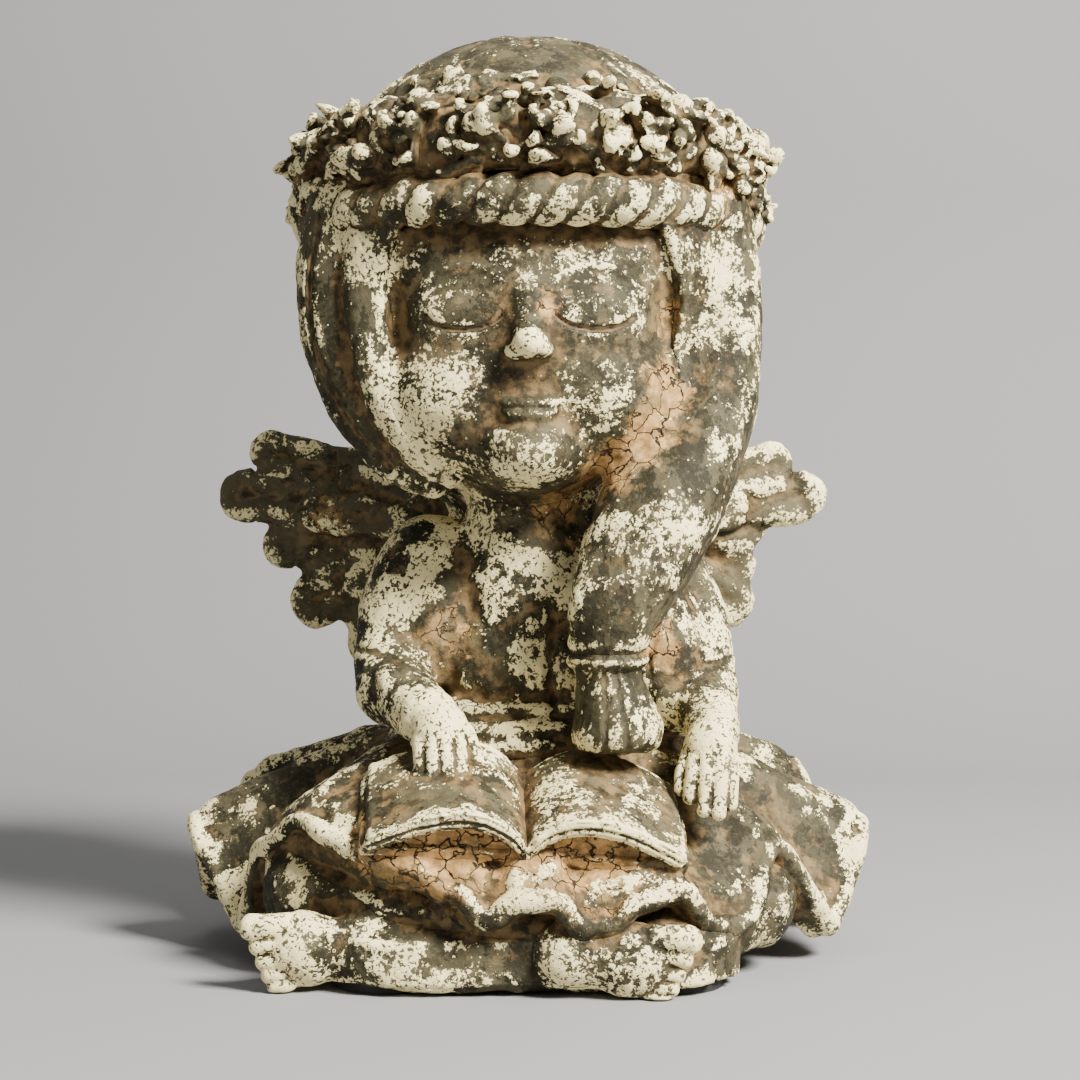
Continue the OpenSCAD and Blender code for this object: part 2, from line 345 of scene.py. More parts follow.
@piece("head", 0.46, rough=0.45, blend=5.0)
def head(f):
    f.add(egg((0, -3, 134), (38, 36, 38)))
    f.add(egg((0, -14, 123.5), (FACE_HALF, FACE_HALF, 32)), 4)
    for side in (-1, 1):
        f.add(egg((side * 16, -21, 138), (14, 16, 13)), 6)
    for side in (-1, 1):
        f.add(egg((side * 14, -26, 112), (14, 14.5, 13)), 6)
    f.add(egg((0, -30, 101), (12, 12.5, 8)), 5)
    f.add(egg((0, -39.4, 101), (6, 4.8, 4.6)), 4)
    for side in (-1, 1):
        f.cut(egg((side * 12.5, -50.5, 127.5), (9.5, 6, 5.5)), 6)
        f.add(egg((side * 12.5, -35.2, 126.6), (9, 5.4, 5.6)), 5)
        lash = [(side * (12.5 + 7.8 * math.sin(a)), -42, 127.2 - 3.8 * math.cos(a))
                for a in np.linspace(-1.25, 1.25, 7)]
        f.groove(lash, 0.8, 0.8, 0.08, 2)
        fold = [(side * (12.5 + 8.2 * math.sin(a)), -42, 127.2 + 4.4 * math.cos(a))
                for a in np.linspace(-0.9, 0.9, 5)]
        f.groove(fold, 0.7, 0.25, 0.08, 2)
        brow = [(side * (12.5 + 9.6 * math.sin(a)), -40, 127.6 + 8.4 * math.cos(a))
                for a in np.linspace(-0.9, 0.9, 5)]
        f.groove(brow, 1.8, -0.4, 0.08, 2)
    f.add(rod((0, -41, 131), 2.2, (0, -44.2, 121.5), 2.3), 4)
    f.add(egg((0, -45.0, 120.3), (2.9, 3.2, 2.7)), 2)
    for side in (-1, 1):
        f.add(egg((side * 2.7, -43.2, 119.2), (1.9, 2.4, 1.6)), 1.4)
        f.cut(egg((side * 1.7, -46, 117.4), (0.8, 1.5, 0.6)), 0.6)
    f.add(egg((0, -40.6, 109.2), (5.4, 2.6, 1.9)), 2.2)
    f.add(egg((0, -40.9, 107.4), (4.4, 2.7, 1.9)), 1.6)
    mouth = [(-5.8, -43, 109.0), (-2.8, -43, 108.5), (0, -43, 108.6), (2.8, -43, 108.5), (5.8, -43, 109.0)]
    f.groove(mouth, 0.7, 0.4, 0.08)


@piece("neck", 0.5, rough=1.4, blend=5.0)
def neck(f):
    f.add(rod((1, -8, 78), 13.5, (1, -7, 100), 13))


@piece("hair_cap", 0.72, blend=4.0)
def hair_cap(f):
    f.add(egg((0, 1, 141), (HEAD_R, 46, HEAD_R)))
    f.add(rod((0, 5, 132), 41, (1, 12, 116), 31), 6)

    def opening(x, y, z):
        wide, high = np.abs(x) / FACE_HALF, np.abs(z - 119) / 34.5
        return ((wide ** 3 + high ** 3) ** (1 / 3) - 1) * 30 + 0 * y

    f.cut(Shape(opening, (-34, -60, 84), (32, -12, 154)), 2)
    # strands from the crown down to the nape
    for i in range(STRANDS):
        a = 2 * math.pi * i / STRANDS
        pts = []
        for t in np.linspace(0.25, 1.75, 7):
            turn = a + 0.35 * math.sin(t * 1.7 + i)
            r = 47 * math.sin(t)
            pts.append((r * math.sin(turn), 1 - r * math.cos(turn), 141 + 47 * math.cos(t)))
        f.groove(pts, 1.7 + 0.5 * math.sin(3.1 * i), 0.95 + 0.3 * math.sin(5.3 * i), steps=2)


@piece("side_lock", 0.45, blend=4.0)
def side_lock(f):
    f.add(path([(-36, -20, 150, 8), (-38, -21, 136, 8), (-36.5, -22, 121, 7.6), (-31.5, -23.5, 108, 6.6),
                (-25, -25, 99, 4.6), (-18.5, -26, 94, 2)]))
    f.add(path([(-30, -27, 148, 4.4), (-32, -29, 134, 4.4), (-30.5, -30, 120, 4.3), (-26.5, -30.5, 108, 3.7),
                (-21, -29.5, 100, 2.8), (-15.5, -28, 95, 1.4)]), 0.8)
    f.groove([(-41, -27, 146), (-43, -27, 133), (-41, -28, 119), (-35, -29, 107), (-27, -29, 98)],
                  1.3, 0.8, 0.3)


PONYTAIL = [(35.5, -17, 150, 8), (37.5, -17, 135, 8.5), (36.5, -19, 119, 9.5), (32.5, -23, 104, 10.6),
            (26, -29, 91, 11.6), (20.5, -34, 79, 10.4), (16.6, -37, 71, 8.4), (15, -38, 65.5, 6.4)]


@piece("ponytail", 0.5, blend=4.0)
def ponytail(f):
    f.add(path(PONYTAIL))
    for dx, dy, share in ((-4.5, -4, 0.62), (3.5, -5.5, 0.55), (0, -6.5, 0.5)):
        f.add(path([(x + dx * r / 10, y + dy * r / 10, z, share * r) for x, y, z, r in PONYTAIL]), 2.2)


@piece("hair_tie", 0.35)
def hair_tie(f):
    f.add(egg((14.8, -38, 64.2), (7.4, 7.2, 2.3)))
    f.add(egg((15, -38, 61), (7.8, 7.4, 2.4)), 0.5)


@piece("ponytail_end", 0.38)
def ponytail_end(f):
    f.add(rod((15, -37.5, 59), 6, (16.6, -37, 48), 8.8))
    f.keep(Shape(lambda x, y, z: 43.4 - z + 0 * x + 0 * y, (-99, -99, 0), (99, 99, 99)), 2.5)
    for i, dx in enumerate((-5, -1.8, 1.6, 4.8)):
        f.groove([(15 + dx * 0.5, -44, 60), (16 + dx, -47, 52), (16.5 + dx * 1.3, -46, 43)], 1.0, 0.6, 0.2)


@piece("torso", 0.62, rough=1.5, blend=4.0)
def torso(f):
    f.add(egg((0, -4, 73), (19, 19, 18)))
    f.add(egg((0, -9, 57), (19.5, 17.5, 14)), 5)
    f.add(egg((0, -1, 45), (29, 25.5, 11)), 5)
    for side in (-1, 1):
        f.add(egg((side * 16, -6, 79), (10, 10, 9)), 4)
        f.add(egg((side * 9, 13, 76), (13, 12, 15)), 5)
    # the clay that closes the gaps beside the arms
    f.add(egg((-19, -11, 65), (9, 10, 16), spin(0, 12, 0)), 3)
    f.add(egg((25.5, -15, 62), (9.5, 10, 18), spin(0, -12, 0)), 3)
    for z, y, r in ((50.5, -26, 1.9), (47, -28, 2.2), (43.6, -29.5, 2.2)):
        f.add(path([(-21, y + 9, z + 1, r), (-10, y + 1.5, z - 0.5, r), (1, y, z, r),
                    (12, y + 1.5, z - 0.4, r), (21, y + 9, z + 1, r)]), 1.2)
    f.groove([(-13, -20, 90), (-9, -24, 84), (-2, -26, 79.5), (6, -26, 79.5), (12, -24, 84)],
                  1.1, 0.9, 0.25)
    f.groove([(-13, -20, 86), (-12.5, -22, 78), (-10.5, -24, 71), (-9, -25, 66)], 1.0, 0.8, 0.25)
    f.groove([(3, -26, 78), (4.5, -26, 68), (4, -27, 58), (5, -28, 50)], 1.8, 1.3, 0.2)
    f.groove([(22, -24, 76), (25, -26, 68), (23.5, -26, 60), (25, -28, 50)], 0.8, 1.8, 0.2)
    f.groove([(-18, -22, 70), (-16.5, -24, 62), (-18, -24, 54)], 0.8, 1.4, 0.2)


@piece("right_arm", 0.45, blend=3.0)
def right_arm(f):
    f.add(path([(-21, -8, 80, 8.8), (-25.5, -10, 71, 8.6), (-27.6, -14, 61, 7.8), (-27, -21, 54.5, 7.2)]))
    f.add(rod((-27, -21, 54.5), 7, (-19.5, -35, 50), 5.6), 1.2)
    f.add(egg((-24.4, -27, 55.6), (6.2, 5.5, 4.2), spin(20, 25, 0)), 1.4)
    f.groove([(-34, -20, 62), (-28, -26, 61), (-21, -27, 57)], 1.2, 0.8, 0.3)


@piece("left_arm", 0.45, blend=3.0)
def left_arm(f):
    f.add(path([(25, -6, 81, 8.8), (30.5, -7, 71, 8.4), (33.6, -10, 61, 7.6), (34.4, -15, 54, 7)]))
    f.add(rod((34.4, -15, 54), 6.8, (35.8, -29.5, 46.5), 5), 1.2)
    f.groove([(42, -14, 61), (36, -21, 59), (29, -22, 60)], 1.2, 0.8, 0.3)


def fingers(f, roots, tips, root_r, tip_r):
    for a, b in zip(roots, tips):
        middle = (np.array(a) + np.array(b)) / 2 + np.array((0, -0.9, 0.3))
        f.add(path([(*a, root_r), (*middle, (root_r + tip_r) / 2), (*b, tip_r)], 3), 0.35)


@piece("right_hand", 0.26, rough=0.4, blend=0.8)
def right_hand(f):
    f.add(egg((-17, -38.6, 47.2), (5.8, 5.4, 6.2)))
    roots = [(-20.2, -41.2, 46), (-18.0, -42.4, 46.2), (-15.7, -42.5, 46), (-13.5, -41.6, 45.4)]
    tips = [(-19.6, -43.6, 38.4), (-17.2, -45.4, 36.2), (-14.7, -45.8, 35.6), (-12.2, -45, 36.8)]
    fingers(f, roots, tips, 1.9, 1.5)
    f.add(path([(-12.4, -38.5, 47.2, 2.2), (-10.8, -40.2, 43.8, 1.8), (-10.0, -41.6, 40.4, 1.4)], 3), 0.5)


@piece("left_hand", 0.26, rough=0.4, blend=0.8)
def left_hand(f):
    f.add(egg((34.8, -32.6, 43.4), (5.2, 5, 6), spin(10, 0, 0)))
    roots = [(31.8, -34.8, 42), (34.0, -36.2, 42.2), (36.2, -36.4, 42), (38.2, -35, 41.4)]
    tips = [(30.6, -38.4, 35.2), (33, -40.2, 33), (35.6, -40.6, 32.4), (38, -39, 34)]
    fingers(f, roots, tips, 1.9, 1.5)
    f.add(path([(31, -32.6, 42.6, 1.9), (29.4, -35, 39.6, 1.6), (28.8, -36.6, 36.4, 1.2)], 3), 0.5)


# The skirt's hem, once round: bearing from the front towards +X, distance out, height.
HEM = [
    (-170, 57, 28), (-155, 62, 11), (-137, 66, 31), (-125, 68, 14), (-113, 68, 34), (-102, 71, 11),
    (-90, 71, 28), (-75, 61, 9), (-61, 60, 27), (-50, 58.5, 33), (-33, 58, 28.5), (-23, 58, 26.5),
    (-14, 57.5, 22.5), (-7.5, 57.5, 17.5), (-2, 57.5, 20.8), (5, 57.5, 21.2), (10, 57.5, 16),
    (15, 57.5, 16.2), (22, 57.5, 20), (30, 58, 22), (37, 58, 15), (44, 58.5, 14.5), (58, 57, 27),
    (76, 64, 9), (93, 71, 27), (105, 70, 10), (119, 68, 37), (137, 64, 13), (155, 59, 30),
    (172, 57, 11), (190, 57, 28),
]
WAIST_Z = 45.0
WAIST_R = (29.0, 25.0)


def hem_at(bearing):
    """Distance out and height of the hem at a bearing in degrees."""
    rows = np.array(HEM, float)
    b = (np.asarray(bearing, float) + 170) % 360 - 170
    i = np.clip(np.searchsorted(rows[:, 0], b, side="right") - 1, 0, len(rows) - 2)
    t = (b - rows[i, 0]) / (rows[i + 1, 0] - rows[i, 0])
    t = (1 - np.cos(math.pi * t)) / 2
    return (rows[i, 1] + (rows[i + 1, 1] - rows[i, 1]) * t, rows[i, 2] + (rows[i + 1, 2] - rows[i, 2]) * t)


def skirt_rule(x, y, z):
    bearing = np.degrees(np.arctan2(x, -y))
    out = np.sqrt(x * x + y * y)
    reach, height = hem_at(bearing)
    sin, cos = np.sin(np.radians(bearing)), np.cos(np.radians(bearing))
    waist = 1 / np.sqrt((sin / WAIST_R[0]) ** 2 + (cos / WAIST_R[1]) ** 2)
    t = np.clip((out - waist) / (reach - waist), 0, 1.15)
    mean = 23.0
    turn = np.radians(bearing)
    ripple = 1.1 * np.sin(23 * turn + 2 * np.sin(3 * turn))
    ripple = ripple + 0.8 * np.sin(41 * turn + 3 * np.sin(2 * turn) + 4 * t)
    top = WAIST_Z + (mean - WAIST_Z) * t ** 1.15 + (height - mean) * t ** 0.85 + ripple * t * (1.2 - t)
    gx, gy = np.gradient(top[:, :, 0], x[:, 0, 0], y[0, :, 0])
    steep = 1 / np.sqrt(1 + np.clip(gx * gx + gy * gy, 0, 6))[:, :, None]
    thick = 4.5 + 3.5 * np.clip(1 - t, 0, 1) + 6 * np.clip(1 - t * 2.4, 0, 1)
    d_top = (z - top) * steep
    d_under = (top - thick / steep ** 0.5 - z) * steep
    d_edge = out - reach + 2.4 + 0 * z
    d = soft_max(d_top, d_under, 1.2)
    d = np.maximum(d, 3.0 - z)
    return soft_max(d, d_edge, 2.5).astype(np.float32)


def hem_under(height):
    """Height of the hem's lower edge, which waves less than the upper one."""
    return np.maximum(height - 4.4 - 0.4 * np.maximum(height - 18, 0), 1.5)


@piece("skirt", 0.82, rough=1.3, blend=2.0)
def skirt(f):
    f.add(Shape(skirt_rule, (-72, -60, 3), (72, 60, 46)))
    turns = np.arange(-170, 192, 2.0)
    reach, height = hem_at(turns)
    under = hem_under(height)
    sin, cos = np.sin(np.radians(turns)), np.cos(np.radians(turns))
    rows = []
    for share, inset, r in ((0, 1.9, 2.1), (0.5, 5.2, 2.6), (1, 4.8, 2.2)):
        z = (height - 2.5) * (1 - share) + (under + 2.2) * share
        out = reach - inset
        rows.append([(out[i] * sin[i], -out[i] * cos[i], z[i], r) for i in range(len(turns))])
    for row in rows:
        f.add(Union([rod(a[:3], a[3], b[:3], b[3]) for a, b in zip(row[:-1], row[1:])]), 0.8)


@piece("base_mound", 1.1, rough=1.6)
def base_mound(f):
    def rule(x, y, z):
        t = np.clip((z - 10) / 22, 0, 1)
        hx, hy, r = 40 - 19 * t, 50 - 29 * t, 16 + 4 * t
        qx = np.maximum(np.abs(x) - hx + r, 0)
        qy = np.maximum(np.abs(y + 2) - hy + r, 0)
        d = (np.sqrt(qx * qx + qy * qy) - r) * 0.8
        d = np.maximum(d, 2.2 - z)
        return np.maximum(d, z - 33).astype(np.float32)
    f.add(Shape(rule, (-41, -53, 2), (41, 49, 34)))
    # the clay under the hem on either side of the legs
    f.add(egg((-43, -27, 15), (9, 12, 11)), 3)
    f.add(egg((44, -24, 13), (8, 12, 9)), 3)
    f.cut(Shape(lambda x, y, z: np.maximum(np.maximum(np.abs(x) - 31, np.abs(y + 2) - 41), z - 9) + 0 * x,
                (-31, -43, -5), (31, 39, 9)), 2)


@piece("right_leg", 0.45, rough=1.4, blend=1.2)
def right_leg(f):
    f.add(path([(-38, -33, 15, 8.4), (-22, -40, 13, 7.6), (-4, -43.6, 11, 7.2), (12, -46, 9.4, 6.4)]))
    f.add(path([(-37, -39, 17.5, 3.6), (-22, -45.4, 15.4, 3.4), (-2, -48, 12.8, 3.2),
                (12, -49.6, 10.6, 2.8)]), 1.4)


@piece("left_leg", 0.5, rough=1.4, blend=1.2)
def left_leg(f):
    f.add(path([(37, -30, 12, 9), (18, -38, 8, 7), (-8, -44.5, 5.6, 5.4), (-30, -45.5, 6.8, 5.8)]))
    f.add(path([(30, -42, 5, 4), (12, -47, 4.2, 3.6), (-10, -48.6, 4.0, 3.6), (-28, -48, 4.6, 3.6)]), 1.5)


# The toes from the big one down: length past the ball of the foot, radius, height.
TOES = ((6.2, 2.7, 5.0), (5.4, 2.0, 1.6), (4.6, 1.8, -1.4), (3.8, 1.7, -4), (2.8, 1.6, -6.2))


def foot(f, heel, way, tilt):
    """A foot lying on its side, with its toes one above the other, pointing along X."""
    turn = spin(0, tilt, 0)

    def at(x, y, z):
        p = turn @ np.array((x, y, z), float)
        return (heel[0] + way * p[0], heel[1] + p[1], heel[2] + p[2])

    f.add(egg(at(0, 0.5, 0), (7, 5.4, 6.4)))
    f.add(egg(at(12, -0.6, 0), (8, 4.8, 7)), 4)
    for length, r, z in TOES:
        f.add(path([(*at(15, -1.6, z * 0.9), r), (*at(15 + length * 0.6, -2.4, z), r * 0.92),
                    (*at(15 + length, -2.2, z), r * 0.98)], 3), 0.4)


for node_name, *where in (("right_foot", (7.5, -51, 8.2), 1, 6), ("left_foot", (-29.5, -45, 9.0), -1, 5)):
    piece(node_name, 0.3, rough=0.7, blend=1.2)(lambda f: foot(f, *where))


BOOK = {"middle": (-1, -42, 31.5), "turn": spin(29, 4, 5)}


def in_book(x, y, z):
    cx, cy, cz = BOOK["middle"]
    return turned(x - cx, y - cy, z - cz, BOOK["turn"].T)


def page_top(u):
    """Height of the paper over the cover, from the gutter out to the fore edge."""
    return 1.5 + 7.4 * np.sin(math.pi * np.clip(u / 30.5, 0, 1) ** 0.72)


def pages(f, side):
    def rule(x, y, z):
        u, v, w = in_book(x, y, z)
        u = u * side
        top = page_top(u)
        deep = top - w
        d = -soft_min(deep * 0.8, w + 0.2, 0.5)
        leaves = 0.25 * np.sin(deep * 4.6) * (deep < 3.6)
        front = -v - 11.8 + 2.2 * np.clip(deep - 3.4, 0, 1) + leaves
        d = np.maximum(d, front)
        d = np.maximum(d, v - 11.4)
        d = soft_max(d, u - 29.6, 1.2)
        return np.maximum(d, -u + 0.1).astype(np.float32)
    f.add(Shape(rule, (-36, -60, 18), (34, -24, 50)))


for node_name, side in (("right_pages", -1), ("left_pages", 1)):
    piece(node_name, 0.36, rough=0.8, blend=1.0)(lambda f: pages(f, side))


@piece("book_cover", 0.42, blend=1.2)
def book_cover(f):
    def rule(x, y, z):
        u, v, w = in_book(x, y, z)
        d = np.maximum(np.maximum(np.abs(w + 1.1) - 1.1, v - 12.3), -v - 10.8)
        return soft_max(d, np.abs(u) - 30.6, 1.0).astype(np.float32)
    f.add(Shape(rule, (-36, -60, 16), (34, -24, 44)))


def wing(f, side, feathers):
    root = np.array((side * 14, 23, 84))
    f.add(egg(root + (side * 4, 1, 0), (9, 5, 13)))
    tips = [np.array((side * (x - r), 33.5, z)) for x, z, r in feathers]
    bend = np.array((0, 1.5, 2.5))
    for tip, (x, z, r) in zip(tips, feathers):
        mid = root + (tip - root) * 0.55 + bend
        f.add(path([(*root, r * 0.9), (*mid, r * 1.2), (*tip, r)], 4, flat=(0, 1, 0), thin=1.7), 1.2)
    for a, b in zip(tips[:-1], tips[1:]):
        between = root + ((a + b) / 2 - root) * 0.86
        f.add(path([(*root, 5), (*between, 5)], 3, flat=(0, 1, 0), thin=2.4), 1.5)
    for tip, (x, z, r) in zip(tips, feathers):
        mid = root + (tip - root) * 0.55 + bend
        f.groove([mid, (mid + tip) / 2, tip], r * 0.8, 2.0, 0.15, 3)
        for j in (-1, 1):
            across = np.array((side * 0.25, 0, j)) * r
            for k in range(3):
                start = mid + (tip - mid) * (0.2 + 0.32 * k)
                f.groove([start + across * 0.35, start + across], 0.7, 0.7, 0.2, 2)
    for i, (x, z, r) in enumerate(feathers):
        tip = np.array((side * (x * 0.62 + 3 * (i % 2)), 28.4, 84 + (z - 84) * 0.7))
        f.add(path([(*(root + (0, -3, 0)), r * 0.8), (*tip, r * 0.85)], 3, flat=(0, 1, 0), thin=1.9), 0.5)
        away = (tip - root) * 0.2
        f.groove([tip - away * 2, tip], r * 0.6, 1.2, 0.2)


@piece("right_wing", 0.46, rough=1.3)
def right_wing(f):
    wing(f, -1, [(63, 103.5, 5), (70, 94, 6.2), (60, 83, 5.6), (54, 70.5, 6.2), (41, 61, 5)])


@piece("left_wing", 0.46, rough=1.3)
def left_wing(f):
    wing(f, 1, [(59, 100.5, 5), (66, 93.5, 5.8), (50.5, 78, 5.4), (50, 70.5, 6.2), (38, 61, 5)])


@piece("headband", 0.5, rough=1.3, blend=0.8)
def headband(f):
    def rule(x, y, z):
        around = np.arctan2(x, 1 - y)
        out = np.sqrt(x * x + (y - 1) ** 2) - 43.8
        up = z - 147.8
        tube = np.arctan2(up, out)
        strand = 44 * around - 2 * tube
        lobe = np.abs(np.cos(strand / 2)) ** 0.6
        return (np.sqrt(out * out + up * up) - 4.0 - 1.0 * lobe).astype(np.float32)
    f.add(Shape(rule, (-49, -48, 142.6), (49, 50, 153)))


def on_wreath(bearing, lift, out):
    """A point over the wreath's ring, and the direction away from it."""
    a, b = math.radians(bearing), math.radians(lift)
    way = np.array((math.cos(b) * math.sin(a), -math.cos(b) * math.cos(a), math.sin(b)))
    core = np.array((41.5 * math.sin(a), 1 - 41.5 * math.cos(a), 160.0))
    return core + way * out, way


def frame_of(way):
    side = np.cross(way, (0.3, 0.2, 0.93))
    side /= np.linalg.norm(side)
    return side, np.cross(way, side)


def rose(f, middle, way, r, rand):
    """A blossom: a thick cup with a waved rim and a bud inside."""
    side, up = frame_of(way)
    turn = rand.rand() * 6.28
    lobes = 3 + rand.randint(3)
    centre = middle - way * r * 0.25

    def cup(x, y, z):
        x, y, z = x - centre[0], y - centre[1], z - centre[2]
        w = x * way[0] + y * way[1] + z * way[2]
        u = x * side[0] + y * side[1] + z * side[2]
        v = x * up[0] + y * up[1] + z * up[2]
        wave = np.cos(np.arctan2(v, u) * lobes + turn)
        shell = np.abs(np.sqrt(u * u + v * v + w * w) - r - 0.16 * r * wave) - 0.8
        return np.maximum(shell, w - 0.3 * r - 0.24 * r * wave).astype(np.float32)

    f.add(egg(middle - way * r * 1.15, r * 0.85), 0.5)
    f.add(Shape(cup, centre - r * 1.5, centre + r * 1.5), 0.3)
    f.add(egg(middle - way * r * 0.4 + side * r * 0.2 * (rand.rand() - 0.5), r * 0.3), 0.2)


def leaf(f, middle, way, length, rand):
    side, up = frame_of(way)
    a = rand.rand() * 6.28
    along = side * math.cos(a) + up * math.sin(a) + way * (0.05 + 0.3 * rand.rand())
    along /= np.linalg.norm(along)
    tip = middle + along * length
    mid = middle + along * length * 0.5
    f.add(path([(*middle, 1.2), (*mid, length * 0.32), (*tip, 1.0)], 3, flat=way, thin=1.9), 0.4)


@piece("wreath_ring", 0.56, rough=1.6, blend=0.6, crumple=1.0)
def wreath_ring(f):
    rand = np.random.RandomState(11)

    def ring(x, y, z):
        out = np.sqrt(x * x + (y - 1) ** 2) - 41.0
        return np.sqrt(out ** 2 + (z - 160.5) ** 2 * 0.7) - 6.6

    f.add(Shape(ring, (-48.5, -47.5, 151), (48.5, 49.5, 170)))
    for i in range(150):
        middle, way = on_wreath(2.4 * i + 4 * rand.rand(), -66 + 200 * rand.rand(), 6.6)
        leaf(f, middle, way, 5.0 + 3.4 * rand.rand(), rand)
    for side in (-90, 90):
        for i in range(16):
            middle, way = on_wreath(side + 58 * (rand.rand() - 0.5), -50 - 24 * rand.rand(), 10)
            leaf(f, middle, way, 3.4 + 2.2 * rand.rand(), rand)
            f.add(egg(middle - way * 2, 3.2), 1.5)
    for i in range(22):
        turn, lift = -50 + 100 * rand.rand(), 0.62 + 0.16 * rand.rand()
        middle = np.array((46 * math.cos(lift) * math.sin(math.radians(turn)),
                           1 - 46 * math.cos(lift) * math.cos(math.radians(turn)), 141 + 46 * math.sin(lift)))
        way = (middle - (0, 1, 141)) / 46
        leaf(f, middle, way, 3.0 + 2.0 * rand.rand(), rand)
        f.add(egg(middle - way * 0.6, 1.6 + rand.rand()), 0.6)


@piece("wreath_roses", 0.45, rough=1.3, blend=0.5, crumple=0.25)
def wreath_roses(f):
    rand = np.random.RandomState(5)
    rows = ((-6, 21, 4.1, 7.4), (34, 19, 4.1, 7.8), (-42, 21, 3.4, 6.8), (76, 16, 3.5, 7.0))
    for row, (lift, count, size, out) in enumerate(rows):
        for i in range(count):
            middle, way = on_wreath(360 / count * (i + 0.5 * (row % 2) + 0.6 * (rand.rand() - 0.5)),
                                    lift + 18 * (rand.rand() - 0.5), out)
            way = way + 0.6 * (rand.rand(3) - 0.5)
            rose(f, middle, way / np.linalg.norm(way), size * (0.7 + 0.45 * rand.rand()), rand)
    for side in (-90, 90):
        for i in range(9):
            middle, way = on_wreath(side - 30 + 7.5 * i, -60 - 8 * (i % 2), 11 + 1.6 * (i % 2))
            rose(f, middle, way, 2.8 + 0.8 * rand.rand(), rand)


@piece("wreath_buds", 0.36, rough=1.5, blend=0.5, crumple=0.2)
def wreath_buds(f):
    rand = np.random.RandomState(9)
    rows = ((60, 12, 7.4), (14, 10, 8.2), (-24, 12, 7.6), (98, 20, 7.0), (126, 14, 7.8))
    for lift, count, out in rows:
        for i in range(count):
            bearing = 360 / count * (i + rand.rand() * 0.7)
            middle, way = on_wreath(bearing, lift + 18 * (rand.rand() - 0.5), out)
            r = 1.5 + 1.0 * rand.rand()
            f.add(rod(middle - way * 2.4, 1.2, middle, r * 0.7), 0.6)
            for k in range(3):
                off = (rand.rand(3) - 0.5) * r * 1.3
                f.add(egg(middle + off, (r * 0.8, r * (0.45 + 0.4 * rand.rand()), r * 0.75),
                          spin(360 * rand.rand(), 360 * rand.rand())), 0.2)


# ---------------------------------------------------------------- from fields to meshes

NEIGHBOUR_PAD = 3.0
OVERLAP = 0.35
FLOOR_GAP = 0.3


def solve(node):
    """The piece's field, filleted into its neighbours and parted from them halfway between."""
    me = FORMS[node]
    step = me["step"] / FINE
    grid = Grid(me["form"].low - 2, me["form"].high + 2, step)
    mine = me["form"].field(grid)
    joined = mine.copy()
    others = np.full(grid.shape, FAR, np.float32)
    for name, other in FORMS.items():
        if name == node:
            continue
        form = other["form"]
        sub, box = sub_grid(grid, form.low - NEIGHBOUR_PAD, form.high + NEIGHBOUR_PAD)
        if box is None:
            continue
        d = form.field(sub)
        joined[box] = soft_min(joined[box], d, min(me["form"].blend, form.blend))
        others[box] = np.minimum(others[box], d)
    band = np.abs(joined) < 1.2 + me["crumple"]
    index = np.nonzero(band)
    p = np.stack([grid.axes[i][index[i]] for i in range(3)], axis=1)
    joined[index] -= roughness(p, me["rough"]) + crumpling(p, me["crumple"])
    field = np.maximum(joined, (mine - others) * 0.5 - OVERLAP * step)
    field = np.maximum(field, FLOOR_GAP - grid.axes[2])
    return grid, field


def largest_parts(count, quads, smallest):
    """Which vertices belong to a connected part with at least this many vertices."""
    label = np.arange(count)
    edges = np.concatenate([quads[:, [0, 1]], quads[:, [1, 2]], quads[:, [2, 3]], quads[:, [3, 0]]])
    while True:
        low = np.minimum(label[edges[:, 0]], label[edges[:, 1]])
        new = label.copy()
        np.minimum.at(new, edges[:, 0], low)
        np.minimum.at(new, edges[:, 1], low)
        new = new[new]
        new = new[new]
        if (new == label).all():
            break
        label = new
    size = np.bincount(label, minlength=count)
    return size[label] >= smallest


def to_mesh(node, grid, field):
    field[0], field[-1] = FAR, FAR
    field[:, 0], field[:, -1] = FAR, FAR
    field[:, :, 0], field[:, :, -1] = FAR, FAR
    vdb = openvdb.FloatGrid(FAR)
    vdb.copyFromArray(field, tolerance=0.0)
    points, quads = vdb.convertToQuads(isovalue=0.0)
    points = points * grid.step + grid.low
    quads = quads.astype(np.int64)
    good = largest_parts(len(points), quads, 150)
    quads = quads[good[quads[:, 0]]]
    used = np.zeros(len(points), bool)
    used[quads.ravel()] = True
    new_index = np.cumsum(used) - 1
    points, quads = points[used], new_index[quads]
    a, b, c, d = (points[quads[:, i]] for i in range(4))
    volume = np.einsum("ij,ij->i", a, np.cross(b, c)).sum() + np.einsum("ij,ij->i", a, np.cross(c, d)).sum()
    if volume < 0:
        quads = quads[:, ::-1]
    return points, quads


def vertex_normals(points, quads):
    a, b, c, d = (points[quads[:, i]] for i in range(4))
    n = np.cross(c - a, d - b)
    out = np.zeros_like(points)
    for i in range(4):
        np.add.at(out, quads[:, i], n)
    return out / np.maximum(np.linalg.norm(out, axis=1, keepdims=True), 1e-9)


# ---------------------------------------------------------------- hollows and edges, for the finish

def box_blur(a, reach):
    """The mean over a cube of 2 * reach + 1 cells."""
    width = 2 * reach + 1
    for axis in range(3):
        pad = [(0, 0)] * 3
        pad[axis] = (reach + 1, reach)
        total = np.cumsum(np.pad(a, pad, mode="edge"), axis=axis, dtype=np.float64)
        count = a.shape[axis]
        high = [slice(None)] * 3
        low = [slice(None)] * 3
        high[axis], low[axis] = slice(width, width + count), slice(0, count)
        a = ((total[tuple(high)] - total[tuple(low)]) / width).astype(np.float32)
    return a


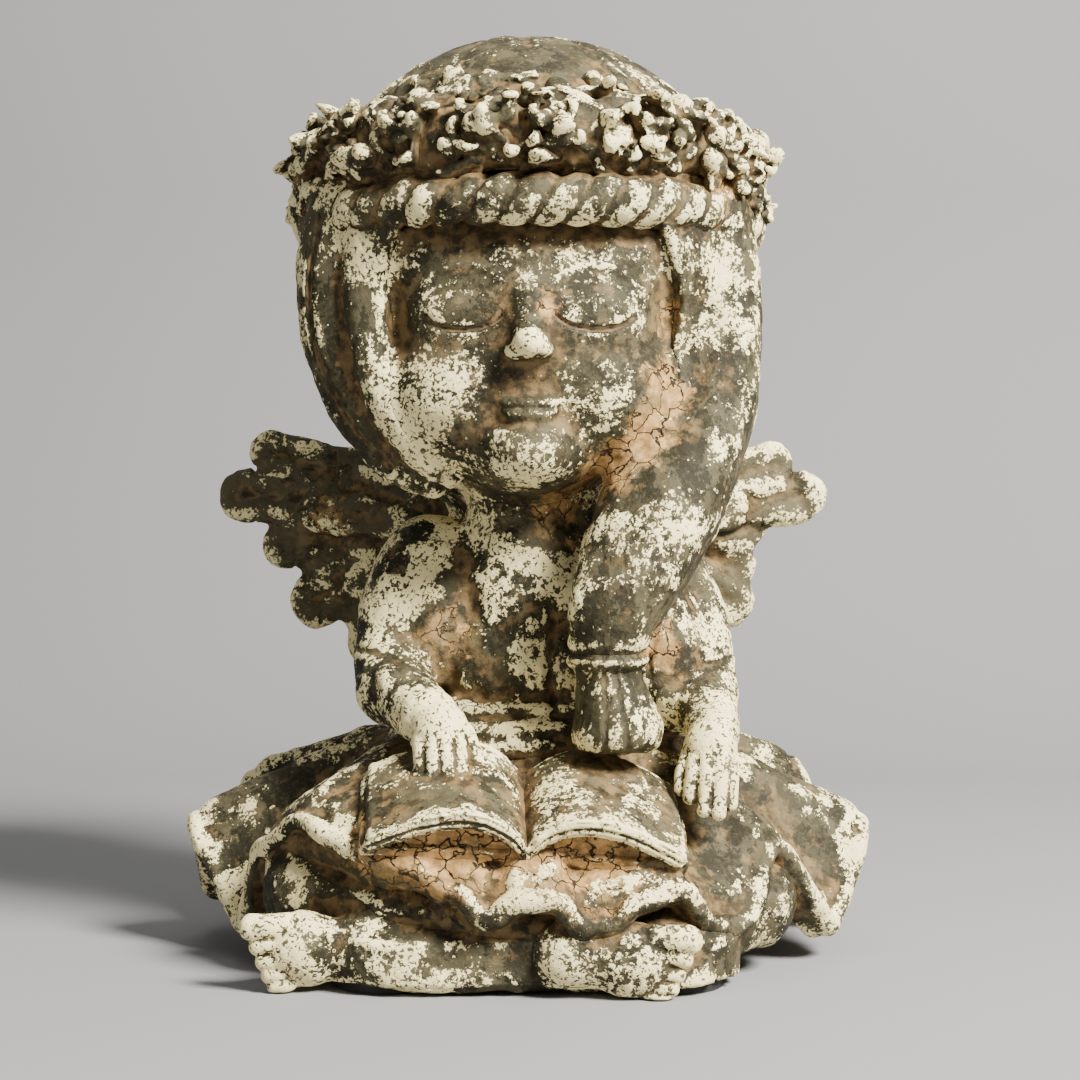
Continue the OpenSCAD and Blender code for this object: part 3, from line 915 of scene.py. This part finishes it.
def sample(grid, values, p):
    """Values at any points, blended between the eight nearest cells."""
    q = np.clip((p - grid.low) / grid.step, 0, np.array(grid.shape) - 1.001)
    base = q.astype(int)
    t = q - base
    out = np.zeros(len(p))
    for corner in np.ndindex(2, 2, 2):
        share = np.prod(np.where(corner, t, 1 - t), axis=1)
        out += share * values[tuple((base + corner).T)]
    return out


def sub_grid(grid, low, high):
    """The part of a grid between two corners, and its place in the whole."""
    box = grid.part(low, high)
    if box is None:
        return None, None
    sub = Grid.__new__(Grid)
    sub.step = grid.step
    sub.axes = [grid.axes[i][box[i]] for i in range(3)]
    sub.low = np.array([axis[0] for axis in sub.axes])
    sub.shape = tuple(len(axis) for axis in sub.axes)
    return sub, box


def occupancy_maps():
    """How full the space is round each point, at a near and a wide reach."""
    grid = Grid((-76, -62, -1), (76, 62, 192), 0.9)
    full = np.zeros(grid.shape, np.float32)
    for item in FORMS.values():
        form = item["form"]
        sub, box = sub_grid(grid, form.low - 2, form.high + 2)
        full[box] = np.maximum(full[box], np.clip(0.5 - form.field(sub) / grid.step, 0, 1))
    return grid, box_blur(full, 1), box_blur(box_blur(full, 3), 3)


# Where the white paint or the orange clay is thicker, or thinner where the strength is below 0;
# some paint rows below 0 are painted shade: x, y, z, reach, strength.
PAINT_AND_PAINTED_SHADE = [
    (0, -12, 186, 26, -0.8), (0, -38, 172, 18, -0.6), (-31, -30, 125, 9, -0.45),
    # The rows below 0 at x 30 to 68 and z 20 to 30 thin the white on the skirt's right side: partly less
    # paint, partly painted shade over the side the key light falls on most.
    (30, -36, 95, 12, -0.35), (46, -32, 26, 16, -1.2), (62, -20, 24, 14, -0.5), (24, -50, 24, 12, -0.3),
    (34, -20, 60, 9, -0.4), (68, -8, 28, 13, -0.8), (-66, -10, 24, 13, -0.5), (30, -34, 120, 12, -0.3),
    (-24, -50, 8, 16, -0.8), (4, -52, 8, 16, -0.45), (20, -54, 8, 12, -0.4), (32, -44, 6, 14, -0.4),
    (38, -36, 20, 16, -0.8), (50, -20, 28, 16, -0.5), (-62, 30, 90, 22, -0.9),
    (-32, -28, 112, 14, -0.35), (16, -44, 50, 9, -0.6), (15, -45, 62, 7, -0.6),
    (12.5, -42, 127, 7, -0.4), (-12.5, -42, 127, 7, -0.4), (36, -30, 112, 18, -0.4),
    (-62, 30, 84, 26, -0.15), (-16, -40, 112, 8, 0.8), (-18, -38, 103, 7, 0.45), (12, -40, 111, 8, 0.4),
    (0, -46, 120, 4, 0.7), (0, -40, 98, 5, 0.6), (-4, -44, 139, 8, 0.4), (10, -44, 139, 8, 0.3),
    (-16, -38, 47, 10, 1.1), (36, -36, 40, 10, 0.9), (-24, -16, 76, 9, 0.8), (38, -24, 50, 8, 0.4),
    (-46, -46, 6, 9, 0.6), (32, -56, 6, 8, 0.6), (-38, -26, 140, 9, 0.3), (-14, -25, 82, 8, 0.45),
    # The first and fourth rows here are painted shade: they take the white off the neck where the chin shades
    # it.
    (0, -22, 90, 11, -0.9), (6, -26, 66, 8, -0.4), (0, -44, 109, 5, -0.7), (0, -24, 92, 8, -0.5),
    (-22, -30, 52, 7, -0.35), (-1, -38, 150, 14, -0.3), (30, -30, 30, 10, -0.3),
    (-24, -44, 34, 12, -0.7), (40, -30, 28, 10, -0.4), (-52, -10, 30, 14, -0.3),
    (30, -30, 108, 12, 0.25), (38, -26, 135, 12, 0.3), (0, -30, 172, 14, -0.2),
    (-20, -30, 165, 14, -0.2),
]
CLAY = [
    (29, -34, 122, 4.5, 0.8), (27.5, -35, 113, 4.5, 0.9), (23, -36, 104, 5, 0.9), (15, -33, 96, 7, 0.9),
    (24, -34, 112, 7, 0.9), (20, -32, 98, 7, 1.0), (6, -22, 90, 9, 0.9), (-16, -52, 28, 13, 1.1),
    (-27, -48, 29, 8, 0.9), (14, -54, 27, 12, 1.1), (0, -55, 25, 8, 0.7), (-17, -24, 66, 7, 1.1),
    (25, -26, 63, 8, 1.1), (-31, -30, 130, 5, 0.7), (3, -43, 127, 4, 0.9), (-8, -43, 126, 3.5, 0.6),
    (30, -44, 28, 9, 0.5), (-44, 24, 88, 8, 0.8), (36, -26, 152, 7, 0.9), (30, -34, 152, 5, 0.5),
    (-32, -32, 156, 6, 0.5), (-36, -30, 26, 9, 0.5), (-32, -30, 112, 5, 0.5), (28, -30, 128, 5, 0.6),
    (-2, -44, 156, 5, 0.5), (20, -40, 154, 7, 0.5),
]
# How full the space round a point on a flat surface is, at the near and at the wide reach.
FLAT_NEAR = 0.30
FLAT_WIDE = 0.29


def blobs(p, rows):
    out = np.zeros(len(p))
    for x, y, z, reach, strength in rows:
        out += strength * np.exp(-(((p - (x, y, z)) ** 2).sum(1)) / (reach * reach))
    return out


def rim_paint_highlight_and_shade(points, normals):
    """White along the upward-facing top of the hem's rim, partly paint and partly a painted highlight, and
    painted shade on the band below it, under the rim's overhang.
    """
    bearing = np.degrees(np.arctan2(points[:, 0], -points[:, 1]))
    out = np.hypot(points[:, 0], points[:, 1])
    reach, height = hem_at(bearing)
    near_rim = np.exp(-((reach - 2.0 - out) / 3.0) ** 2)
    # upward: white on the rim's top, partly a painted highlight; below: painted shade on the band under the
    # rim.
    upward = np.clip((normals[:, 2] + 0.1) / 0.4, 0, 1) * (points[:, 2] > height - 3.6)
    below = np.clip((height - 3.4 - points[:, 2]) * 0.8, 0, 1)
    return 1.5 * near_rim * upward - 0.9 * near_rim * below


def page_paint_and_hand_shade(points, normals):
    """White along the leaves' edges at the front of the book, with less on the right pages, as painted shade
    from the right hand above them.
    """
    u, v, w = in_book(*points.T)
    deep = page_top(np.abs(u)) - w
    # The sign of u gives white on the left pages and painted shade on the right pages, under the right hand.
    return (0.15 + 0.65 * np.sign(u)) * (v < -10.8) * (deep < 3.6)


def page_clay(points):
    """Keeps the clay off the paper: it lies only below the leaves' edges."""
    u, v, w = in_book(*points.T)
    return page_top(np.abs(u)) - w > 3.2


def strand_paint(points, normals):
    """White on the lower front of the rolled band's strands."""
    return np.clip(0.35 - (points[:, 2] - 147.5) * 0.14, -0.5, 0.6)


# Extra white paint by piece, with the rim's painted highlight and shade and the painted shade on the right
# pages.
EXTRA_PAINT_AND_PAINTED_LIGHT = {
    "skirt": rim_paint_highlight_and_shade,
    "left_pages": page_paint_and_hand_shade,
    "right_pages": page_paint_and_hand_shade,
    "headband": strand_paint,
}


def build(node, finish, maps):
    grid, field = solve(node)
    points, quads = to_mesh(node, grid, field)
    normals = vertex_normals(points, quads)
    room, near, wide = maps
    crease = -sample(grid, box_blur(field, 2), points) / grid.step
    near = sample(room, near, points + normals * 0.5)
    wide = sample(room, wide, points + normals * 1.5)
    # The paint value holds white paint, with painted shade from some table rows and the pages, and the rim's
    # painted highlight and shade.
    paint = blobs(points, PAINT_AND_PAINTED_SHADE)
    if node in EXTRA_PAINT_AND_PAINTED_LIGHT:
        paint = paint + EXTRA_PAINT_AND_PAINTED_LIGHT[node](points, normals)
    clay = blobs(points, CLAY)
    if node in ("left_pages", "right_pages"):
        clay = clay * page_clay(points)
    mesh = bpy.data.meshes.new(node)
    world = points * MM + np.array((0, 0, FOOT.z))
    mesh.from_pydata(world.tolist(), [], quads.tolist())
    mesh.polygons.foreach_set("use_smooth", np.ones(len(mesh.polygons), bool))
    values = {
        "crease": np.clip(crease * 1.6, -1.2, 1.5),
        "edge": np.clip((FLAT_NEAR - near) * 9, -2, 1.2),
        "hollow": np.clip((wide - FLAT_WIDE) * 3, -0.5, 1.5),
        "paint": paint,
        "clay": clay,
    }
    for name, data in values.items():
        layer = mesh.attributes.new(name, "FLOAT", "POINT")
        layer.data.foreach_set("value", data.astype(np.float32))
    mesh.materials.append(finish)
    mesh.update()
    obj = bpy.data.objects.new(node + "_cast", mesh)
    bpy.context.scene.collection.objects.link(obj)
    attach(obj, "root")
    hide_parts(node)
    return obj


# ---------------------------------------------------------------- materials

class Nodes:
    """Short forms for building a material's nodes."""

    def __init__(self, name):
        self.material = bpy.data.materials.new(name)
        self.material.use_nodes = True
        self.tree = self.material.node_tree
        self.tree.nodes.clear()

    def new(self, kind, **values):
        node = self.tree.nodes.new(kind)
        for key, value in values.items():
            setattr(node, key, value)
        return node

    def join(self, source, target):
        if isinstance(source, bpy.types.NodeSocket):
            self.tree.links.new(source, target)
        else:
            target.default_value = source

    def math(self, op, a, b=0.0, c=0.0, clamp=False):
        node = self.new("ShaderNodeMath", operation=op, use_clamp=clamp)
        for i, value in enumerate((a, b, c)):
            self.join(value, node.inputs[i])
        return node.outputs[0]

    def mad(self, a, b, c):
        """a times b, plus c."""
        return self.math("MULTIPLY_ADD", a, b, c)

    def times(self, a, b):
        return self.math("MULTIPLY", a, b)

    def plus(self, a, b):
        return self.math("ADD", a, b)

    def less(self, a, b):
        return self.math("SUBTRACT", a, b)

    def ramp(self, value, low, high):
        """0 below low, 1 above high, smooth between."""
        node = self.new("ShaderNodeMapRange", interpolation_type="SMOOTHSTEP")
        self.join(value, node.inputs["Value"])
        node.inputs["From Min"].default_value = low
        node.inputs["From Max"].default_value = high
        return node.outputs[0]

    def mix(self, share, a, b):
        node = self.new("ShaderNodeMix", data_type="RGBA")
        self.join(share, node.inputs["Factor"])
        for value, socket in ((a, node.inputs["A"]), (b, node.inputs["B"])):
            self.join(value if isinstance(value, bpy.types.NodeSocket) else (*value, 1), socket)
        return node.outputs["Result"]

    def noise(self, place, wave, detail=4.0, rough=0.6, distort=0.0, output="Fac"):
        """Fractal noise whose largest features are about wave millimetres."""
        node = self.new("ShaderNodeTexNoise")
        self.join(place, node.inputs["Vector"])
        node.inputs["Scale"].default_value = 1000.0 / wave
        node.inputs["Detail"].default_value = detail
        node.inputs["Roughness"].default_value = rough
        node.inputs["Distortion"].default_value = distort
        return node.outputs[output]

    def cells(self, place, wave, feature="F1"):
        node = self.new("ShaderNodeTexVoronoi", feature=feature)
        self.join(place, node.inputs["Vector"])
        node.inputs["Scale"].default_value = 1000.0 / wave
        return node.outputs

    def value(self, name):
        return self.new("ShaderNodeAttribute", attribute_name=name).outputs["Fac"]

    def place(self):
        return self.new("ShaderNodeTexCoord").outputs["Object"]

    def finish(self, colour, rough, height=None, relief=0.0, strength=1.0, specular=0.5, metal=0.0):
        """The material itself. Its height map stands relief metres deep."""
        shader = self.new("ShaderNodeBsdfPrincipled")
        self.join(colour, shader.inputs["Base Color"])
        self.join(rough, shader.inputs["Roughness"])
        shader.inputs["Specular IOR Level"].default_value = specular
        shader.inputs["Metallic"].default_value = metal
        if height is not None:
            bump = self.new("ShaderNodeBump")
            bump.inputs["Strength"].default_value = strength
            bump.inputs["Distance"].default_value = relief
            self.join(height, bump.inputs["Height"])
            self.join(bump.outputs["Normal"], shader.inputs["Normal"])
        out = self.new("ShaderNodeOutputMaterial")
        self.join(shader.outputs[0], out.inputs["Surface"])
        return self.material


def stone_colour(n, place, grain, dark):
    """Bare stone: dark olive, with paler worn cloud and fine grain."""
    cloud = n.noise(place, 9.0, 5, 0.62)
    cloud = n.mad(n.noise(place, 1.2, 4, 0.75), 0.6, cloud)
    deep = tuple(dark * c for c in (0.020, 0.0172, 0.0080))
    pale = tuple(dark * c for c in (0.048, 0.0415, 0.0205))
    stone = n.mix(n.ramp(cloud, 0.76, 0.90), deep, pale)
    return n.mix(n.times(n.ramp(grain, 0.52, 0.72), 0.5), stone, (0.09, 0.078, 0.040))


def dirty(n, place, colour, hollow, crease, clay):
    """Brown dirt in the hollows."""
    dirt = n.mad(n.noise(place, 6.0, 8, 0.68), 2.6, -1.25 + clay)
    dirt = n.ramp(n.mad(crease, 0.45, n.mad(hollow, 1.1, dirt)), 0.12, 0.36)
    cloud = n.ramp(n.noise(place, 2.6, 4, 0.6), 0.36, 0.66)
    brown = n.mix(cloud, (0.045, 0.030, 0.013), (0.205, 0.132, 0.055))
    return n.mix(n.times(dirt, 0.85), colour, brown)


def clayed(n, place, colour):
    """Orange clay, and the fine dark cracks across it. Gives the colour and the cracks."""
    share = n.plus(n.value("clay"), n.mad(n.noise(place, 4.0, 5, 0.65), 2.2, -1.45))
    share = n.ramp(share, 0.15, 0.55)
    cloud = n.ramp(n.noise(place, 2.4, 4, 0.6), 0.36, 0.66)
    colour = n.mix(share, colour, n.mix(cloud, (0.24, 0.138, 0.048), (0.48, 0.29, 0.11)))
    shift = n.new("ShaderNodeVectorMath", operation="MULTIPLY_ADD")
    n.join(n.noise(place, 1000 / 260, 3, 0.5, output="Color"), shift.inputs[0])
    shift.inputs[1].default_value = (0.006, 0.006, 0.006)
    n.join(place, shift.inputs[2])
    crack = n.cells(shift.outputs[0], 4.6, "DISTANCE_TO_EDGE")["Distance"]
    crack = n.times(n.ramp(n.less(0.042, crack), 0.0, 0.03), share)
    return n.mix(crack, colour, (0.02, 0.013, 0.008)), crack


def paint_body(n, place, cover, edge, hollow, crease):
    """How thick the paint is, broadly: thick on raised places, rubbed out of hollows, thinned where the paint
    value holds painted shade and thickened on the rim's painted highlight.
    """
    body = n.mad(n.noise(place, 20.0, 2, 0.5), 1.0, cover - 0.5)
    for value, share in ((n.value("edge"), 0.42 * edge), (n.value("paint"), 0.55), (hollow, -0.75),
                         (crease, -0.55), (n.value("clay"), -0.6)):
        body = n.mad(value, share, body)
    return body


def drops(n, place, body, speckle):
    """Small round drops of paint, some with a dark middle."""
    spot = n.cells(place, 1.7)
    pick = n.new("ShaderNodeSeparateColor")
    n.join(spot["Color"], pick.inputs["Color"])
    size = n.mad(pick.outputs["Red"], 0.22, n.mad(body, 0.22, 0.10 + speckle))
    drop = n.ramp(n.less(size, spot["Distance"]), 0.0, 0.05)
    ring = n.ramp(n.less(n.times(size, 0.55), spot["Distance"]), 0.0, 0.04)
    ring = n.times(ring, n.ramp(pick.outputs["Green"], 0.62, 0.66))
    return n.math("SUBTRACT", drop, ring, clamp=True)


def flakes(n, place, chips, chip, body):
    """Above 0 where the paint still holds: ragged chips of three sizes."""
    flake = n.mad(n.noise(chips, chip, 8, 0.66), 2.2, -1.1)
    fine = n.mad(n.noise(chips, chip * 0.3, 5, 0.7), 2.0, -1.0)
    salt = n.mad(n.noise(place, 0.8, 3, 0.7), 1.9, -0.95)
    return n.plus(n.plus(body, salt), n.plus(flake, fine))


def pitted(n, place, flake, paint):
    """The paint without the pits where a bubble has burst."""
    hole = n.mad(flake, 0.07, n.noise(place, 0.85, 2, 0.6, 0.6))
    hole = n.mad(n.noise(place, 3.1, 3, 0.6), 0.35, hole)
    return n.times(paint, n.ramp(hole, 0.622, 0.646))


def film_wear_and_crease_shade(n, chips, colour, hollow, crease, flake, wash):
    """A thin grey film, worn rims round the chips, and near-black in the deepest creases: partly the dark
    cracks the casting has there, partly painted shade.
    """
    film = n.mad(hollow, -0.5, n.mad(n.noise(chips, 6.0, 9, 0.72), 3.0, -1.60 + wash))
    colour = n.mix(n.times(n.ramp(film, 0.0, 0.06), 0.42), colour, (0.125, 0.108, 0.060))
    colour = n.mix(n.times(n.ramp(flake, -0.16, 0.0), 0.28), colour, (0.14, 0.122, 0.070))
    # Near-black where the crease value is high: partly dark cracks, partly painted shade in the creases.
    return n.mix(n.times(n.ramp(crease, 0.45, 1.1), 0.85), colour, (0.022, 0.016, 0.010))


def weathered(name, cover=0.0, speckle=0.0, clay=0.0, streak=(1, 1, 1), chip=5.5, edge=1.0, wash=0.0,
              dark=1.0):
    """Cast resin with a chipped white paint over grey stone colour and brown in the hollows.
    cover raises the share of white, speckle its fine dots, wash the grey film, and streak stretches
    the chips, which are about chip millimetres across."""
    n = Nodes(name)
    place = n.place()
    drift = n.new("ShaderNodeMapping")
    n.join(place, drift.inputs["Vector"])
    drift.inputs["Scale"].default_value = streak
    chips = drift.outputs["Vector"]
    hollow, crease = n.value("hollow"), n.value("crease")
    grain = n.noise(place, 0.9, 3, 0.7)

    colour = stone_colour(n, place, grain, dark)
    colour = dirty(n, place, colour, hollow, crease, clay)
    colour, crack = clayed(n, place, colour)
    body = paint_body(n, place, cover, edge, hollow, crease)
    flake = flakes(n, place, chips, chip, body)
    paint = n.math("MAXIMUM", n.ramp(flake, 0.0, 0.05), drops(n, place, body, speckle))
    paint = pitted(n, place, flake, paint)
    colour = film_wear_and_crease_shade(n, chips, colour, hollow, crease, flake, wash)
    cloud = n.ramp(n.noise(place, 6.0, 4, 0.6), 0.3, 0.75)
    colour = n.mix(paint, colour, n.mix(cloud, (0.92, 0.81, 0.43), (0.74, 0.635, 0.33)))

    height = n.mad(crack, -0.8, n.mad(paint, 0.30, n.times(grain, 0.22)))
    height = n.mad(n.noise(place, 0.35, 2, 0.6), 0.08, height)
    return n.finish(colour, n.mad(paint, 0.1, 0.72), height, relief=0.0008, specular=0.2)


def plain(name, colour, rough, metal=0.0, wave=1.0, depth=0.0002):
    """Rubber, steel or raw resin: one colour with a little variation and fine grain."""
    n = Nodes(name)
    place = n.place()
    cloud = n.ramp(n.noise(place, 5.0, 4, 0.6), 0.3, 0.7)
    shade = n.mix(cloud, colour, tuple(0.72 * c for c in colour))
    return n.finish(shade, n.mad(cloud, 0.12, rough), n.noise(place, wave, 3, 0.6), depth, 0.6, metal=metal)


FINISHES = {
    "worn_resin": dict(cover=-0.24),
    "painted_skin": dict(cover=0.16, edge=0.6),
    "hair_resin": dict(cover=-0.34, speckle=0.05, streak=(1, 1, 0.5), chip=4.0),
    "book_resin": dict(cover=-0.26, clay=0.2, wash=0.1, streak=(0.6, 1, 1)),
    "wreath_resin": dict(cover=-0.52, clay=0.1, chip=3.5, edge=1.2, dark=1.2),
    "wing_resin": dict(cover=-0.30, clay=0.1, wash=0.2, streak=(0.6, 1, 1), dark=1.3),
    "skirt_resin": dict(cover=-0.45, clay=0.1, edge=1.2),
}
CAST = {name: weathered(name, **settings) for name, settings in FINISHES.items()}
SLOTS = {part["node"]: part["material_slot"] for part in frame["record"]["subparts"]}

room_maps = occupancy_maps()
for node_name in FORMS:
    build(node_name, CAST[SLOTS[node_name]], room_maps)

CARRIED = {
    "rubber": plain("rubber", (0.012, 0.012, 0.012), 0.7, wave=0.8),
    "steel": plain("steel", (0.55, 0.56, 0.58), 0.3, 1.0, wave=0.4, depth=0.0001),
    "bare_resin": plain("bare_resin", (0.20, 0.17, 0.12), 0.75, wave=2.0, depth=0.0004),
}
for node_name, obj in frame["nodes"].items():
    if node_name not in FORMS:
        obj.data.materials.clear()
        obj.data.materials.append(CARRIED[SLOTS[node_name]])

# ---------------------------------------------------------------- stage

def stage_material():
    n = Nodes("pale_paper")
    cloud = n.noise(n.place(), 300, 2, 0.5)
    return n.finish(n.mix(cloud, (0.215, 0.215, 0.22), (0.235, 0.235, 0.24)), 0.9)


def stage():
    """A pale sheet that lies under the figurine and curves up behind it."""
    width, front, back, rise, bend = 5.0, -6.0, 0.55, 1.6, 0.25
    profile = [(front, 0.0)]
    profile += [(back - bend + bend * math.sin(a), bend - bend * math.cos(a))
                for a in np.linspace(0, math.pi / 2, 16)]
    profile.append((back, rise))
    verts = [(x, y, z + FOOT.z) for y, z in profile for x in (-width, width)]
    faces = [(2 * i, 2 * i + 1, 2 * i + 3, 2 * i + 2) for i in range(len(profile) - 1)]
    mesh = bpy.data.meshes.new("stage")
    mesh.from_pydata(verts, [], faces)
    for polygon in mesh.polygons:
        polygon.use_smooth = True
    mesh.materials.append(stage_material())
    obj = bpy.data.objects.new("stage", mesh)
    bpy.context.scene.collection.objects.link(obj)


def light(name, place, aim, size, power, colour=(1, 1, 1)):
    data = bpy.data.lights.new(name, "AREA")
    data.energy = power
    data.size = size
    data.color = colour
    obj = bpy.data.objects.new(name, data)
    obj.location = place
    obj.rotation_euler = (Vector(aim) - Vector(place)).to_track_quat("-Z", "Y").to_euler()
    bpy.context.scene.collection.objects.link(obj)


stage()
height = TOP.z - FOOT.z
aim = (0, 0, FOOT.z + 0.45 * height)
light("key", (0.62, -0.58, 0.78), aim, 0.32, 64, (1.0, 0.97, 0.90))
light("fill", (-0.7, -0.8, 0.35), aim, 0.9, 1.6)
light("top", (0.0, 0.1, 1.1), aim, 0.7, 3)
world = bpy.data.worlds.new("studio")
world.use_nodes = True
world.node_tree.nodes["Background"].inputs["Color"].default_value = (0.82, 0.82, 0.80, 1)
world.node_tree.nodes["Background"].inputs["Strength"].default_value = 0.2
bpy.context.scene.world = world

camera_data = bpy.data.cameras.new("camera")
camera_data.sensor_width = 36
camera_data.lens = 68.8
camera = bpy.data.objects.new("camera", camera_data)
camera.location = (0.011 * height, -2.287 * height, FOOT.z + 0.4468 * height)
camera.rotation_euler = (math.pi / 2, 0, 0)
bpy.context.scene.collection.objects.link(camera)
bpy.context.scene.camera = camera
